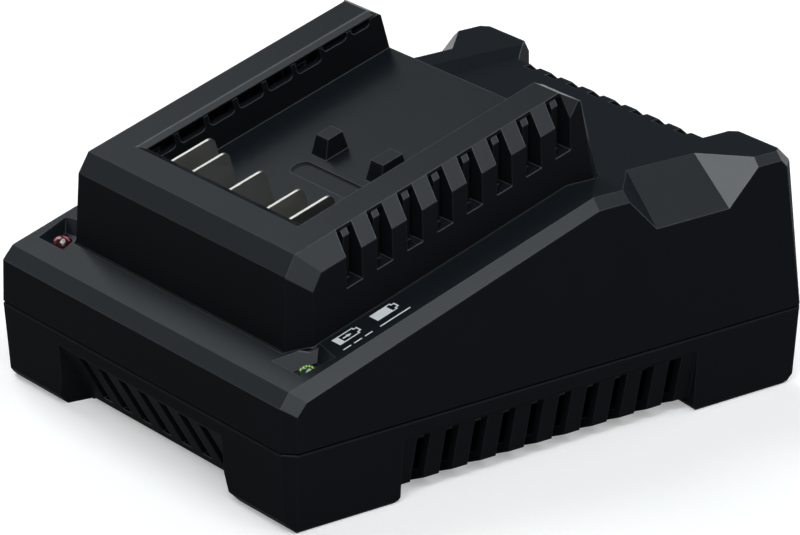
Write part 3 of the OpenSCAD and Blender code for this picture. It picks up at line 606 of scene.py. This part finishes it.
wire_angle = 0.11
low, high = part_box("choke_core")
copper = Finish("enamelled_copper", (0.55, 0.20, 0.08), 0.28, 1.0)
around = copper.node("ShaderNodeMath", {"operation": "ARCTAN2"}, {
    0: copper.at("Y") - (low.y + high.y) / 2, 1: copper.at("X") - (low.x + high.x) / 2})
turns = around.wave(wire_angle)
copper.tint((turns < 0.3) * 0.8, (0.16, 0.045, 0.02))
copper.drive("Roughness", 0.2 + turns * 0.15)
copper.bump(turns, 0.0003)
copper.on("choke_windings")


# ---------------------------------------------------------------------------
# Capacitors. Aluminium cans in shrunk dark blue sleeves, with a pale stripe
# on the negative side and the bare vented end of the can on top.
sleeve_rim, can_end_h = 0.0012, 0.0006


def sleeved_cans(name, node, radius, places):
    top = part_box(node)[1].z
    sleeve = Finish(name, (0.018, 0.028, 0.095), 0.35)
    shrink = sleeve.noise(0.0025, 3.0)
    stripe = reduce(Value.__or__, [
        (abs(sleeve.at("X") - x) < radius * 0.3) & (sleeve.at("Y") < y)
        for x, y in places])
    end = reduce(Value.__or__, [
        (sleeve.from_axis(x, y) < radius - sleeve_rim) & (sleeve.at("Z") > top - can_end_h)
        for x, y in places])
    sleeve.tint(shrink * 0.35, (0.03, 0.045, 0.14))
    sleeve.tint(stripe * 0.8, (0.45, 0.47, 0.52))
    sleeve.tint(end, (0.70, 0.71, 0.73))
    sleeve.drive("Metallic", end)
    sleeve.drive("Roughness", 0.28 + shrink * 0.14)
    sleeve.soften(0.0004)
    sleeve.bump(shrink, 0.00003)
    sleeve.on(node)


sleeved_cans("mains_can_sleeve", "mains_capacitor", 0.010, ((0.033, 0.029),))
sleeved_cans("output_can_sleeve", "output_capacitors", 0.005,
             ((-0.020, -0.037), (-0.006, -0.037), (0.008, -0.037)))


# ---------------------------------------------------------------------------
# Transformer winding. Enamelled wire wound on the bobbin under several turns
# of yellow polyester tape, whose edges show as fine steps.
lap_w = 0.0031
tape = Finish("yellow_tape", (0.72, 0.50, 0.07), 0.25, Coat_Weight=0.4, Coat_Roughness=0.15)
laps = tape.at("Z").wave(lap_w)
crease = tape.noise(0.003, 3.0)
tape.tint((laps < 0.12) * 0.6, (0.42, 0.26, 0.03))
tape.tint(crease * 0.3, (0.80, 0.60, 0.14))
tape.drive("Roughness", 0.2 + crease * 0.15)
tape.bump(laps, 0.0001)
tape.on("transformer_winding")


# ---------------------------------------------------------------------------
# Heat sinks. Finned aluminium, cut from an extruded length whose draw lines
# run up the fins.
drawn = Finish("extruded_aluminium", (0.70, 0.71, 0.73), 0.35, 1.0)
lines = drawn.noise(0.0006, 3.0, (1, 1, 30))
drawn.tint(lines * 0.35, (0.55, 0.56, 0.58))
drawn.drive("Roughness", 0.28 + lines * 0.2)
drawn.bump(lines, 0.00001)
drawn.on("primary_heat_sink", "output_heat_sink")


# ---------------------------------------------------------------------------
# Moulded devices. Black epoxy bodies with tinned legs and tabs: the bridge,
# the power transistor and the diode on their sinks, and the control chip.
bridge_legs_z = 0.0125
device_legs_z, device_tab_x = 0.0135, 0.03475
chip_y, chip_half = -0.039, 0.00322


def moulded(name, node, bare_metal):
    epoxy = Finish(name, (0.016, 0.016, 0.018), 0.5)
    metal = bare_metal(epoxy)
    filler = epoxy.noise(0.0004, 3.0)
    epoxy.tint(filler * 0.5, (0.035, 0.035, 0.037))
    epoxy.tint(metal, (0.58, 0.58, 0.57))
    epoxy.drive("Metallic", metal)
    epoxy.drive("Roughness", 0.55 - metal * 0.25 + filler * 0.1)
    epoxy.bump(filler, 0.00001)
    epoxy.on(node)


moulded("bridge_epoxy", "bridge_rectifier", lambda e: e.at("Z") < bridge_legs_z)
for node in ("power_transistor", "output_diode"):
    moulded(node + "_epoxy", node,
            lambda e: (e.at("Z") < device_legs_z) | (abs(e.at("X")) > device_tab_x))
moulded("chip_epoxy", "controller_chip", lambda e: abs(e.at("Y") - chip_y) > chip_half)


# ---------------------------------------------------------------------------
# Screws. Zinc-plated steel with cross recesses, driven into the bosses of the
# housing, the cradle and the circuit board.
zinc = Finish("zinc_plate", (0.50, 0.50, 0.51), 0.35, 1.0)
bloom = zinc.noise(0.0012, 3.0)
zinc.tint(bloom * 0.4, (0.40, 0.41, 0.44))
zinc.drive("Roughness", 0.26 + bloom * 0.22)
zinc.bump(bloom, 0.00001)
zinc.on("housing_screws", "cradle_screws", "board_screws")
